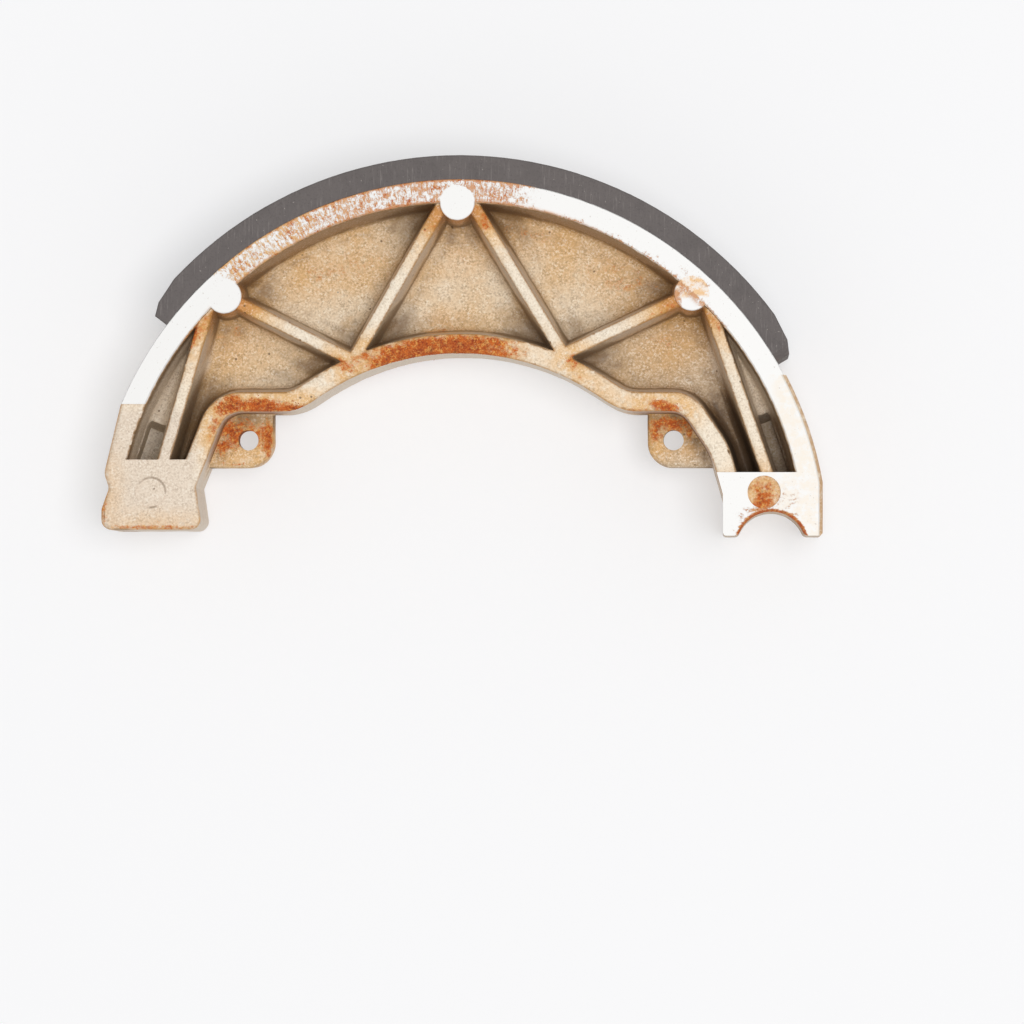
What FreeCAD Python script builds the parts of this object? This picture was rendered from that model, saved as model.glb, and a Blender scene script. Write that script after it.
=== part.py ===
# Brake shoe for a 140 mm drum brake: a die-cast aluminium shoe with a bonded friction lining.
# Millimetres, +Z up. The shoe lies flat on its machined back face, and the drum axis is vertical.
# The outlines are laid out about the drum axis, with the crown of the arc towards +Y, the cam end
# at -X and the anchor end at +X. The finished pieces are then moved so that the origin lies on the
# anchor pin's axis, in the plane of the back face.
import FreeCAD, Part
import math
import os

from FreeCAD import Vector

# Drum and lining
DRUM_RADIUS = 70.0
DRUM_CLEARANCE = 0.5
LINING_THICKNESS = 4.3
LINING_START = 30.2
LINING_END = 142.9
LINING_EDGE_BREAK = 0.25
LEAD_IN_LENGTH = 7.4
LEAD_IN_DROP = 0.65
NOSE_LENGTH = 2.4
NOSE_DROP = 1.05
END_BEVEL_LENGTH = 1.5
END_BEVEL_DEPTH = 1.1

# Depth of the casting along the drum axis
WIDTH = 28.0
CAST_SETBACK = 0.6
WEB_THICKNESS = 5.0

# Cast walls
RIM_THICKNESS = 4.2
RIB_WIDTH = 2.3
FLANGE_THICKNESS = 3.6
DRAFT = 5.0
FLANGE_OUTER_DRAFT = 1.2
ROOT_RADIUS = 1.6
CREST_BEVEL = 0.4
CAST_EDGE_RADIUS = 0.9
CAST_EDGE_BEVEL = 0.8
MACHINED_BEVEL = 0.15
ROOT_SINK = 0.04
ROOT_TAIL = 2.6

# Rim beyond the lining seat, left as cast
CAST_RIM_STAND_OUT = 0.3
SEAT_END_ANCHOR_Y = 30.4
SEAT_END_CAM_Y = 25.3

# Ejector bosses, centred on the rim's inner side
BOSS_RADIUS = 3.1
BOSS_MIDDLE_ANGLE = 90.3
BOSS_PITCH_ANGLE = 42.9
BOSS_ROOT_BEVEL = 1.2
RIB_STAND_OUT = 0.25

# Feet of the zigzag ribs on the inner flange, about the centre of the flange's crown
CAM_NODE_ANGLE = 113.96
CAM_NODE_RISE = 0.94
ANCHOR_NODE_ANGLE = 67.03
ANCHOR_NODE_RISE = 1.79
NODE_OVERRUN = 1.6

# Inner flange: a crown arc, a level shoulder each side, and a leg down to each end block. Reaches
# are measured outwards from the inner side of the end block
CROWN_INSET = 15.65
CROWN_CENTRE_Y = -9.3
CROWN_END_SLOPE = 33.0
SHOULDER_DROP = 10.35
SHOULDER_BEND = 8.0
CAM_ELBOW_REACH = -2.9
CAM_ELBOW_BEND = 5.8
CAM_LEG_FOOT_REACH = 3.3
CAM_LEG_FOOT_Y = 10.1
ANCHOR_ELBOW_REACH = -6.3
ANCHOR_ELBOW_BEND = 5.2
ANCHOR_KNEE_REACH = -0.6
ANCHOR_KNEE_DROP = 8.4
ANCHOR_KNEE_BEND = 12.0
ANCHOR_LEG_FOOT_REACH = 2.2
ANCHOR_LEG_FOOT_Y = 7.5

# Cam end block, set in from the lining seat
CAM_FACE_Y = 2.9
CAM_POCKET_END_Y = 15.5
CAM_FOOT_INSET = 1.5
CAM_FOOT_WIDTH = 18.1
CAM_FOOT_CORNER = 1.9
CAM_FOOT_BEND = 2.5
CAM_NECK_Y = 10.4
CAM_NECK_OUTER_WAIST = 1.3
CAM_NECK_INNER_WAIST = 1.1
CAM_NECK_BEND = 1.2
CAM_SHOULDER_WAIST = 0.5
CAM_SHOULDER_Y = 13.0
CAM_SHOULDER_BEND = 3.0
CAM_SEAT_STEP = 0.11
CAM_RIB_FOOT_INSET = 11.3

# Anchor end block, laid out from the anchor pin
ANCHOR_PIN_DIAMETER = 12.0
ANCHOR_PIN_CLEARANCE = 0.3
ANCHOR_PIN_INSET = 9.8
ANCHOR_FACE_Y = 1.9
ANCHOR_POCKET_END_Y = 13.15
ANCHOR_INNER_WIDTH = 8.6
ANCHOR_INNER_FLARE = 1.1
ANCHOR_NECK_Y = 9.2
ANCHOR_OUTER_WIDTH = 9.1
ANCHOR_MOUTH_RADIUS = 1.0
ANCHOR_CORNER_RADIUS = 0.6
ANCHOR_RIB_FOOT_OFFSET = -0.9

# Spring ears, in from the anchor side's elbow and down from the shoulders
SPRING_HOLE_DIAMETER = 3.5
SPRING_HOLE_INSET = 2.5
SPRING_HOLE_DROP = 6.6
EAR_THICKNESS = 6.0
EAR_EDGE_MARGIN = 4.7
EAR_FOOT_MARGIN = 5.0
EAR_CORNER_RADIUS = 4.6
EAR_EDGE_BEVEL = 0.6

# Deep recesses beside the rim, open to the front, and the closed floors behind them
RECESS_FLOOR = 8.0
RECESS_HEAD_RADIUS = 1.0
RECESS_HEAD_SHARE = 0.4
RECESS_HEAD_SLOPE = 1.6
CAM_RECESS_HEAD_ANGLE = 157.5
ANCHOR_RECESS_HEAD_ANGLE = 23.9
RECESS_BACKING = 2.0
RECESS_ROOM = 11.0

# Ejector marks on the end blocks
MARK_Y = 9.6
CAM_MARK_INSET = 8.9
CAM_MARK_RADIUS = 2.7
CAM_MARK_DEPTH = 0.15
ANCHOR_MARK_OFFSET = -1.3
ANCHOR_MARK_RADIUS = 2.95
ANCHOR_MARK_DEPTH = 0.4

# Overrun of a cut past the surface, and how near two measures are the same
CUT_OVERRUN = 0.3
SAME = 1e-3

# Sizes that follow from the ones above
LINING_OUTER_RADIUS = DRUM_RADIUS - DRUM_CLEARANCE
SEAT_RADIUS = LINING_OUTER_RADIUS - LINING_THICKNESS
RIM_INNER_RADIUS = SEAT_RADIUS - RIM_THICKNESS
CAST_RIM_RADIUS = SEAT_RADIUS + CAST_RIM_STAND_OUT
RIM_MIDDLE_RADIUS = (SEAT_RADIUS + RIM_INNER_RADIUS) / 2
ANCHOR_RADIUS = (ANCHOR_PIN_DIAMETER + ANCHOR_PIN_CLEARANCE) / 2
MIDPLANE = WIDTH / 2
WEB_FRONT = MIDPLANE + WEB_THICKNESS / 2
CAST_FRONT = WIDTH - CAST_SETBACK
POCKET_DEPTH = CAST_FRONT - WEB_FRONT
DRAFT_RUN = POCKET_DEPTH * math.tan(math.radians(DRAFT))
CROWN_RADIUS = RIM_INNER_RADIUS - CROWN_INSET
SHOULDER_Y = CROWN_CENTRE_Y + CROWN_RADIUS - SHOULDER_DROP
CAM_FOOT_OUTER_X = CAM_FOOT_INSET - SEAT_RADIUS
CAM_FOOT_INNER_X = CAM_FOOT_OUTER_X + CAM_FOOT_WIDTH
CAM_ELBOW = Vector(CAM_FOOT_INNER_X - CAM_ELBOW_REACH, SHOULDER_Y, 0)
CAM_LEG_FOOT = Vector(CAM_FOOT_INNER_X - CAM_LEG_FOOT_REACH, CAM_LEG_FOOT_Y, 0)
CAM_RIB_FOOT_X = CAM_FOOT_OUTER_X + CAM_RIB_FOOT_INSET
ANCHOR_X = SEAT_RADIUS - ANCHOR_PIN_INSET
ANCHOR_INNER_X = ANCHOR_X - ANCHOR_INNER_WIDTH
ANCHOR_OUTER_X = ANCHOR_X + ANCHOR_OUTER_WIDTH
ANCHOR_ELBOW = Vector(ANCHOR_INNER_X + ANCHOR_ELBOW_REACH, SHOULDER_Y, 0)
ANCHOR_KNEE = Vector(ANCHOR_INNER_X + ANCHOR_KNEE_REACH, SHOULDER_Y - ANCHOR_KNEE_DROP, 0)
ANCHOR_LEG_FOOT = Vector(ANCHOR_INNER_X + ANCHOR_LEG_FOOT_REACH, ANCHOR_LEG_FOOT_Y, 0)
ANCHOR_RIB_FOOT_X = ANCHOR_X + ANCHOR_RIB_FOOT_OFFSET
SPRING_HOLE_X = ANCHOR_ELBOW.x - SPRING_HOLE_INSET
SPRING_HOLE_Y = SHOULDER_Y - SPRING_HOLE_DROP
EAR_EDGE_X = SPRING_HOLE_X - EAR_EDGE_MARGIN
EAR_FOOT_Y = SPRING_HOLE_Y - EAR_FOOT_MARGIN
UP = Vector(0, 0, 1)


def polar(radius, angle):
    """Point at a radius and an angle in degrees about the drum axis."""
    return Vector(radius * math.cos(math.radians(angle)), radius * math.sin(math.radians(angle)), 0)


def on_circle(radius, y, side):
    """Point of a circle about the drum axis at a height y, on side -1 or +1."""
    return Vector(side * math.sqrt(radius ** 2 - y ** 2), y, 0)


def rounded_path(points, closed):
    """Edges through (point, corner radius) pairs, with each corner rounded to its own radius."""
    count = len(points)
    joints = []
    for index, (point, radius) in enumerate(points):
        if radius == 0 or (not closed and index in (0, count - 1)):
            joints.append((point, None, point))
            continue
        back = (points[index - 1][0] - point).normalize()
        ahead = (points[(index + 1) % count][0] - point).normalize()
        half_angle = back.getAngle(ahead) / 2
        bisector = (back + ahead).normalize()
        reach = radius / math.tan(half_angle)
        middle = point + bisector * (radius / math.sin(half_angle) - radius)
        joints.append((point + back * reach, middle, point + ahead * reach))
    edges = []
    for index, (start, middle, end) in enumerate(joints):
        if middle is not None:
            edges.append(Part.Arc(start, middle, end).toShape())
        last = not closed and index == count - 1
        following = joints[(index + 1) % count][0]
        if not last and end.distanceToPoint(following) > SAME:
            edges.append(Part.LineSegment(end, following).toShape())
    return edges


def plate(points, bottom, top):
    """Straight-sided solid between two heights, from (point, corner radius) pairs."""
    face = Part.Face(Part.Wire(rounded_path(points, closed=True)))
    face.translate(UP * bottom)
    return face.extrude(UP * (top - bottom))


def wall_side(across, outward, top, draft, rooted):
    """Section points down one side of a cast wall, from its top to the parting plane.

    A rooted side ends in a fillet onto the web. The fillet's flat tail lies just under the web's skin,
    so that the two never share a face.
    """
    slope = outward * math.tan(math.radians(draft))
    if not rooted:
        return [(across + slope * (top - MIDPLANE), MIDPLANE, 0)]
    height = WEB_FRONT - ROOT_SINK
    foot = across + slope * (top - height)
    tail = foot + outward * ROOT_TAIL
    return [(foot, height, ROOT_RADIUS), (tail, height, 0), (tail, MIDPLANE, 0)]


def crest_corner(across, outward, top, bevel):
    """Section points of a bevelled corner at the crest of a wall, from its side up to its top."""
    return [(across, top - bevel, 0), (across - outward * bevel, top, 0)]


def wall_section(left, right, top):
    """Front half of a cast wall's section. left and right are (across, draft, rooted, crest bevel)."""
    left_side = wall_side(left[0], -1, top, left[1], left[2])
    right_side = wall_side(right[0], 1, top, right[1], right[2])
    left_corner = crest_corner(left[0], -1, top, left[3])
    right_corner = crest_corner(right[0], 1, top, right[3])
    return left_side[::-1] + left_corner + right_corner[::-1] + right_side


def wall(section, edges):
    """Solids of a wall whose section follows a chain of lines and arcs."""
    pieces = []
    for edge in edges:
        start = edge.Vertexes[0].Point
        heading = edge.tangentAt(edge.FirstParameter)
        right = heading.cross(UP)
        points = [(start + right * across + UP * height, radius) for across, height, radius in section]
        face = Part.Face(Part.Wire(rounded_path(points, closed=True)))
        if isinstance(edge.Curve, Part.Circle):
            turn = math.degrees(edge.LastParameter - edge.FirstParameter) * edge.Curve.Axis.z
            pieces.append(face.revolve(edge.Curve.Center, UP, turn))
        else:
            pieces.append(face.extrude(edge.Vertexes[-1].Point - start))
    return pieces


def fuse_in_turn(pieces):
    """One solid of many, joined one after the other, with split faces merged."""
    whole = pieces[0]
    for piece in pieces[1:]:
        whole = whole.fuse(piece)
    return whole.removeSplitter()


def arc_about_drum(radius, start, end):
    """Anticlockwise arc about the drum axis between two angles in degrees."""
    middle = (start + end) / 2
    return Part.Arc(polar(radius, start), polar(radius, middle), polar(radius, end)).toShape()


def angle_of(point):
    """Angle of a point about the drum axis, in degrees."""
    return math.degrees(math.atan2(point.y, point.x))


def boss_centre(step):
    """Centre of an ejector boss: step -1 is towards the anchor end, 0 the crown, +1 the cam end."""
    return polar(RIM_INNER_RADIUS, BOSS_MIDDLE_ANGLE + step * BOSS_PITCH_ANGLE)


def flange_node(rise, angle):
    """Foot of two zigzag ribs, a little outside the centre line of the flange's crown."""
    return Vector(0, CROWN_CENTRE_Y, 0) + polar(CROWN_RADIUS + rise, angle)


def flange_route():
    """Centre line of the inner flange, from the cam end block over the crown to the anchor block."""
    slope = math.radians(CROWN_END_SLOPE)
    apex = Vector(0, CROWN_CENTRE_Y + CROWN_RADIUS / math.cos(slope), 0)
    shoulder_x = (apex.y - SHOULDER_Y) / math.tan(slope)
    return rounded_path([
        (CAM_LEG_FOOT, 0),
        (CAM_ELBOW, CAM_ELBOW_BEND),
        (Vector(-shoulder_x, SHOULDER_Y, 0), SHOULDER_BEND),
        (apex, CROWN_RADIUS),
        (Vector(shoulder_x, SHOULDER_Y, 0), SHOULDER_BEND),
        (ANCHOR_ELBOW, ANCHOR_ELBOW_BEND),
        (ANCHOR_KNEE, ANCHOR_KNEE_BEND),
        (ANCHOR_LEG_FOOT, 0),
    ], closed=False)


def pocket_region(route, bottom, top):
    """Solid between two heights that fills the shoe from the middle of the rim in to the flange's
    centre line."""
    first = route[0].Vertexes[0].Point
    last = route[-1].Vertexes[-1].Point
    cam_corner = on_circle(RIM_MIDDLE_RADIUS, first.y, -1)
    anchor_corner = on_circle(RIM_MIDDLE_RADIUS, last.y, 1)
    edges = route + [
        Part.LineSegment(last, anchor_corner).toShape(),
        arc_about_drum(RIM_MIDDLE_RADIUS, angle_of(anchor_corner), angle_of(cam_corner)),
        Part.LineSegment(cam_corner, first).toShape(),
    ]
    face = Part.Face(Part.Wire(edges))
    face.translate(UP * bottom)
    return face.extrude(UP * (top - bottom))


def rim_stretch(side, low_y, high_y, outer_radius, top, bevel):
    """Stretch of the rim between two heights, on side -1 (cam end) or +1 (anchor end)."""
    inner = (RIM_INNER_RADIUS - RIM_MIDDLE_RADIUS, DRAFT, True, CREST_BEVEL)
    outer = (outer_radius - RIM_MIDDLE_RADIUS, 0, False, bevel)
    start, end = (0, 90) if side > 0 else (90, 180)
    quarter = wall(wall_section(inner, outer, top), [arc_about_drum(RIM_MIDDLE_RADIUS, start, end)])[0]
    band = Part.makeBox(2 * DRUM_RADIUS, high_y - low_y, WIDTH, Vector(-DRUM_RADIUS, low_y, 0))
    return quarter.common(band)


def make_rim():
    """Outer rim: the machined lining seat, and the drafted inner side of the cast stretch at the cam
    end. The rest of the cast stretches belongs to the end blocks."""
    return [
        rim_stretch(1, SEAT_END_ANCHOR_Y, DRUM_RADIUS, SEAT_RADIUS, WIDTH, MACHINED_BEVEL),
        rim_stretch(-1, SEAT_END_CAM_Y, DRUM_RADIUS, SEAT_RADIUS, WIDTH, MACHINED_BEVEL),
        rim_stretch(-1, CAM_NECK_Y, SEAT_END_CAM_Y, RIM_MIDDLE_RADIUS, CAST_FRONT, MACHINED_BEVEL),
    ]


def make_flange(route):
    """Inner flange, with the pocket side drafted onto the web and the drum side plain."""
    half = FLANGE_THICKNESS / 2
    pocket_side = (-half, DRAFT, True, CREST_BEVEL)
    drum_side = (half, FLANGE_OUTER_DRAFT, False, CREST_BEVEL)
    return wall(wall_section(pocket_side, drum_side, CAST_FRONT), route)


def make_rib(boss, side, foot):
    """Straight rib from a boss to its foot. It meets the boss on its centre line for side 0, and
    just outside the boss's flank for side -1 or +1."""
    heading = (foot - boss).normalize()
    offset = side * (BOSS_RADIUS + RIB_STAND_OUT - RIB_WIDTH / 2)
    start = boss - heading.cross(UP) * offset
    line = Part.LineSegment(start, foot).toShape()
    half = RIB_WIDTH / 2
    section = wall_section((-half, DRAFT, True, CREST_BEVEL), (half, DRAFT, True, CREST_BEVEL), CAST_FRONT)
    return wall(section, [line])[0]


def past(boss, node):
    """Foot of a rib carried on past its node, into the flange."""
    return node + (node - boss).normalize() * NODE_OVERRUN


def make_ribs():
    """Zigzag of ribs between the bosses, the flange and the two end blocks."""
    anchor_boss, crown_boss, cam_boss = (boss_centre(step) for step in (-1, 0, 1))
    cam_node = flange_node(CAM_NODE_RISE, CAM_NODE_ANGLE)
    anchor_node = flange_node(ANCHOR_NODE_RISE, ANCHOR_NODE_ANGLE)
    cam_foot = Vector(CAM_RIB_FOOT_X, CAM_POCKET_END_Y, 0)
    anchor_foot = Vector(ANCHOR_RIB_FOOT_X, ANCHOR_POCKET_END_Y, 0)
    return [
        make_rib(cam_boss, -1, past(cam_boss, cam_foot)),
        make_rib(cam_boss, 0, past(cam_boss, cam_node)),
        make_rib(crown_boss, -1, past(crown_boss, cam_node)),
        make_rib(crown_boss, 1, past(crown_boss, anchor_node)),
        make_rib(anchor_boss, 0, past(anchor_boss, anchor_node)),
        make_rib(anchor_boss, 1, past(anchor_boss, anchor_foot)),
    ]


def make_boss(centre):
    """Round ejector boss, drafted and bevelled onto the web."""
    root_top = WEB_FRONT + BOSS_ROOT_BEVEL
    foot = BOSS_RADIUS + (WIDTH - root_top) * math.tan(math.radians(DRAFT))
    spread = foot + BOSS_ROOT_BEVEL + ROOT_SINK
    edge = crest_corner(BOSS_RADIUS, 1, WIDTH, MACHINED_BEVEL)
    outline = [
        (0, MIDPLANE, 0), (0, WIDTH, 0), *edge[::-1],
        (foot, root_top, 0), (spread, WEB_FRONT - ROOT_SINK, 0), (spread, MIDPLANE, 0),
    ]
    points = [(centre + Vector(across, 0, height), radius) for across, height, radius in outline]
    face = Part.Face(Part.Wire(rounded_path(points, closed=True)))
    return face.revolve(centre, UP, 360)


def on_cam_leg(y):
    """Point of the cam-side leg's centre line at a height y."""
    return CAM_ELBOW + (CAM_LEG_FOOT - CAM_ELBOW) * ((CAM_ELBOW.y - y) / (CAM_ELBOW.y - CAM_LEG_FOOT.y))


def make_cam_block():
    """Cam end block: a waisted foot whose flat end the cam spreads, and the rim's cast shoulder."""
    buried_radius = (RIM_INNER_RADIUS + RIM_MIDDLE_RADIUS) / 2
    seat_end = on_circle(SEAT_RADIUS, SEAT_END_CAM_Y, -1)
    block = plate([
        (on_circle(buried_radius, SEAT_END_CAM_Y, -1), 0),
        (seat_end - Vector(CAM_SEAT_STEP, 0, 0), 0),
        (Vector(CAM_FOOT_OUTER_X + CAM_SHOULDER_WAIST, CAM_SHOULDER_Y, 0), CAM_SHOULDER_BEND),
        (Vector(CAM_FOOT_OUTER_X + CAM_NECK_OUTER_WAIST, CAM_NECK_Y, 0), CAM_NECK_BEND),
        (Vector(CAM_FOOT_OUTER_X, CAM_FACE_Y + 2 * CAM_FOOT_CORNER, 0), CAM_FOOT_BEND),
        (Vector(CAM_FOOT_OUTER_X, CAM_FACE_Y, 0), CAM_FOOT_CORNER),
        (Vector(CAM_FOOT_INNER_X, CAM_FACE_Y, 0), CAM_FOOT_CORNER),
        (Vector(CAM_FOOT_INNER_X - CAM_NECK_INNER_WAIST, CAM_NECK_Y, 0), CAM_NECK_BEND),
        (on_cam_leg(CAM_POCKET_END_Y), 0),
        (on_circle(buried_radius, CAM_POCKET_END_Y, -1), 0),
    ], MIDPLANE, CAST_FRONT)
    outside = [edge for edge in block.Edges
               if abs(edge.BoundBox.ZMin - CAST_FRONT) < SAME
               and edge.CenterOfMass.y < SEAT_END_CAM_Y - SAME
               and (edge.CenterOfMass.y < CAM_POCKET_END_Y - SAME
                    or edge.CenterOfMass.Length > RIM_MIDDLE_RADIUS)]
    return block.makeFillet(CAST_EDGE_RADIUS, outside)


def make_anchor_block():
    """Anchor end block, before its pin seat is cut, with the cast stretch of rim above it. The face
    is machined, and the outside is as cast."""
    top = ANCHOR_POCKET_END_Y
    block = plate([
        (Vector(ANCHOR_INNER_X, ANCHOR_FACE_Y, 0), ANCHOR_CORNER_RADIUS),
        (Vector(ANCHOR_OUTER_X, ANCHOR_FACE_Y, 0), ANCHOR_CORNER_RADIUS),
        (Vector(ANCHOR_OUTER_X, ANCHOR_NECK_Y, 0), 0),
        (on_circle(RIM_MIDDLE_RADIUS, top, 1), 0),
        (Vector(ANCHOR_INNER_X - ANCHOR_INNER_FLARE, top, 0), 0),
        (Vector(ANCHOR_INNER_X, ANCHOR_NECK_Y, 0), ANCHOR_CORNER_RADIUS),
    ], MIDPLANE, WIDTH)
    rim = rim_stretch(1, ANCHOR_NECK_Y, SEAT_END_ANCHOR_Y, CAST_RIM_RADIUS, WIDTH, CAST_EDGE_BEVEL)
    envelope = Part.makeBox(ANCHOR_OUTER_X, DRUM_RADIUS, WIDTH)
    outside = [edge for edge in envelope.Edges
               if edge.CenterOfMass.distanceToPoint(Vector(ANCHOR_OUTER_X, DRUM_RADIUS / 2, WIDTH)) < SAME]
    return block.fuse(rim).common(envelope.makeChamfer(CAST_EDGE_BEVEL, outside))


def make_ear(side, elbow, leg_foot):
    """Spring ear on the flange's elbow, at the middle of the width, on side -1 or +1."""
    edge_x = side * EAR_EDGE_X
    down = (leg_foot - elbow).normalize()
    leg_root = elbow + down * ((SHOULDER_Y - EAR_FOOT_Y) / -down.y)
    corner = elbow + down * EAR_CORNER_RADIUS
    ear = plate([
        (Vector(edge_x, SHOULDER_Y, 0), 0),
        (Vector(edge_x, EAR_FOOT_Y, 0), EAR_CORNER_RADIUS),
        (leg_root, 0),
        (corner, 0),
        (Vector(elbow.x - side * EAR_CORNER_RADIUS, SHOULDER_Y, 0), 0),
    ], MIDPLANE, MIDPLANE + EAR_THICKNESS / 2)
    free = [edge for edge in ear.Edges
            if edge.BoundBox.ZMin > MIDPLANE + SAME
            and (abs(edge.CenterOfMass.x) < EAR_EDGE_X + EAR_CORNER_RADIUS / 2
                 or edge.CenterOfMass.y < EAR_FOOT_Y + SAME)
            and edge.CenterOfMass.y < SHOULDER_Y - SAME]
    return ear.makeChamfer(EAR_EDGE_BEVEL, free)


def crossing(point, heading, radial):
    """Where a line meets the line through the drum axis with this direction."""
    return point - heading * (point.cross(radial).z / heading.cross(radial).z)


def recess_wire(side, head_angle, foot_y, rib_foot_x, grow, height):
    """Outline between the drafted feet of the rim and the end rib, from the end block to its head."""
    rim_foot = RIM_INNER_RADIUS - DRAFT_RUN + grow
    rib_foot = Vector(rib_foot_x, foot_y, 0)
    along = (boss_centre(-side) - rib_foot).normalize()
    flank = rib_foot + Vector(side * ((RIB_WIDTH / 2 + DRAFT_RUN - grow) / along.y), 0, 0)
    head = head_angle + side * math.degrees(grow / rim_foot)
    rim_corner = polar(rim_foot, head)
    rib_corner = crossing(flank, along, polar(1, head))
    radius = min(RECESS_HEAD_RADIUS, RECESS_HEAD_SHARE * rim_corner.distanceToPoint(rib_corner))
    outline = [
        (on_circle(rim_foot, foot_y - grow, side), 0),
        (rim_corner, radius),
        (rib_corner, radius),
        (flank - along * (grow / along.y), 0),
    ]
    raised = [(point + UP * height, bend) for point, bend in outline]
    return Part.Wire(rounded_path(raised, closed=True))


def make_recess(side, head_angle, foot_y, rib_foot_x):
    """Space of a deep recess. Its head slopes in towards the floor."""
    top = WEB_FRONT + ROOT_RADIUS
    face = Part.Face(recess_wire(side, head_angle, foot_y, rib_foot_x, 0, RECESS_FLOOR))
    inward = polar(side, head_angle - 90)
    head = polar(RIM_INNER_RADIUS - RECESS_ROOM, head_angle)
    section = [
        head - inward + UP * top,
        head + UP * top,
        head + inward * RECESS_HEAD_SLOPE + UP * RECESS_FLOOR,
        head - inward + UP * RECESS_FLOOR,
    ]
    slope = Part.Face(Part.makePolygon(section + section[:1])).extrude(polar(RECESS_ROOM, head_angle))
    return face.extrude(UP * (top - RECESS_FLOOR)).cut(slope)


def make_backing(side, head_angle, foot_y, rib_foot_x):
    """Solid behind a recess, which closes its floor where the back pocket would be."""
    face = Part.Face(recess_wire(side, head_angle, foot_y, rib_foot_x, RECESS_BACKING, WIDTH - CAST_FRONT))
    return face.extrude(UP * (MIDPLANE - WIDTH + CAST_FRONT))


def make_casting():
    """Die-cast shoe: rim, web, zigzag ribs, inner flange, end blocks and spring ears in one piece."""
    route = flange_route()
    inside = pocket_region(route, MIDPLANE, WIDTH)
    bosses = [make_boss(boss_centre(step)) for step in (-1, 0, 1)]
    web = pocket_region(route, MIDPLANE, WEB_FRONT)
    front = fuse_in_turn([
        web, *make_rim(), *make_flange(route), *(piece.common(inside) for piece in make_ribs() + bosses),
        make_cam_block(), make_anchor_block(),
        make_ear(-1, CAM_ELBOW, CAM_LEG_FOOT), make_ear(1, ANCHOR_ELBOW, ANCHOR_KNEE),
    ])
    recesses = [
        (-1, CAM_RECESS_HEAD_ANGLE, CAM_POCKET_END_Y, CAM_RIB_FOOT_X),
        (1, ANCHOR_RECESS_HEAD_ANGLE, ANCHOR_POCKET_END_Y, ANCHOR_RIB_FOOT_X),
    ]
    backings = [make_backing(*recess) for recess in recesses]
    casting = fuse_in_turn([front, front.mirror(UP * MIDPLANE, UP), *backings])

    holes = [Part.makeCylinder(SPRING_HOLE_DIAMETER / 2, WIDTH,
                               Vector(side * SPRING_HOLE_X, SPRING_HOLE_Y, 0)) for side in (-1, 1)]
    deep = [make_recess(*recess) for recess in recesses]
    cam_mark = Vector(CAM_FOOT_OUTER_X + CAM_MARK_INSET, MARK_Y, CAST_FRONT - CAM_MARK_DEPTH)
    anchor_mark = Vector(ANCHOR_X + ANCHOR_MARK_OFFSET, MARK_Y, WIDTH - ANCHOR_MARK_DEPTH)
    marks = [
        Part.makeCylinder(CAM_MARK_RADIUS, WIDTH, cam_mark),
        Part.makeCylinder(ANCHOR_MARK_RADIUS, WIDTH, anchor_mark),
    ]
    seat = Part.makeCylinder(ANCHOR_RADIUS, WIDTH, Vector(ANCHOR_X, 0, 0))
    casting = casting.cut([seat, *holes, *deep, *marks])
    pin = Vector(ANCHOR_X, 0, MIDPLANE)
    mouth = [edge for edge in casting.Edges
             if abs(edge.BoundBox.ZLength - WIDTH) < SAME
             and abs(edge.CenterOfMass.distanceToPoint(pin) - ANCHOR_RADIUS) < SAME
             and abs(edge.CenterOfMass.y - ANCHOR_FACE_Y) < SAME]
    return casting.makeFillet(ANCHOR_MOUTH_RADIUS, mouth)


def make_end_bevel():
    """Wedge that bevels the front corner of the lining's anchor end."""
    along = polar(1, LINING_START + 90)
    corner = polar(RIM_INNER_RADIUS, LINING_START) + UP * WIDTH
    low = corner - UP * END_BEVEL_DEPTH
    high = corner + along * END_BEVEL_LENGTH
    overrun = (high - low).normalize() * CUT_OVERRUN
    points = [low - overrun, high + overrun, corner - along * CUT_OVERRUN + UP * CUT_OVERRUN]
    face = Part.Face(Part.makePolygon(points + points[:1]))
    return face.extrude(polar(DRUM_RADIUS - RIM_INNER_RADIUS, LINING_START))


def make_lining():
    """Arc of friction material bonded to the rim, with a lead-in and a blunt nose at each end."""
    def end_points(angle, inward):
        def at(radius, length):
            return polar(radius, angle + inward * math.degrees(length / LINING_OUTER_RADIUS))
        return [
            at(SEAT_RADIUS, 0),
            at(LINING_OUTER_RADIUS - LEAD_IN_DROP - NOSE_DROP, 0),
            at(LINING_OUTER_RADIUS - LEAD_IN_DROP, NOSE_LENGTH),
            at(LINING_OUTER_RADIUS, LEAD_IN_LENGTH),
        ]

    anchor_end = end_points(LINING_START, 1)
    cam_end = end_points(LINING_END, -1)
    edges = [Part.LineSegment(a, b).toShape() for a, b in zip(anchor_end, anchor_end[1:])]
    edges.append(arc_about_drum(LINING_OUTER_RADIUS, angle_of(anchor_end[-1]), angle_of(cam_end[-1])))
    edges += [Part.LineSegment(a, b).toShape() for a, b in zip(cam_end[::-1], cam_end[-2::-1])]
    edges.append(arc_about_drum(SEAT_RADIUS, LINING_START, LINING_END))
    face = Part.Face(Part.Wire(edges))
    lining = face.extrude(UP * WIDTH)
    free = [edge for edge in lining.Edges
            if abs(edge.BoundBox.ZLength) < SAME
            and not (isinstance(edge.Curve, Part.Circle) and abs(edge.Curve.Radius - SEAT_RADIUS) < SAME)]
    return lining.makeChamfer(LINING_EDGE_BREAK, free).cut(make_end_bevel())


def main():
    """Build both pieces, move the origin to the anchor pin and write one file for each."""
    os.makedirs("parts", exist_ok=True)
    pieces = {"shoe_casting": make_casting(), "friction_lining": make_lining()}
    for name, shape in pieces.items():
        shape.translate(Vector(-ANCHOR_X, 0, 0))
        shape.exportStep("parts/" + name + ".step")
        print(name, shape.isValid(), len(shape.Solids), round(shape.Volume, 1))


main()
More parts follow.
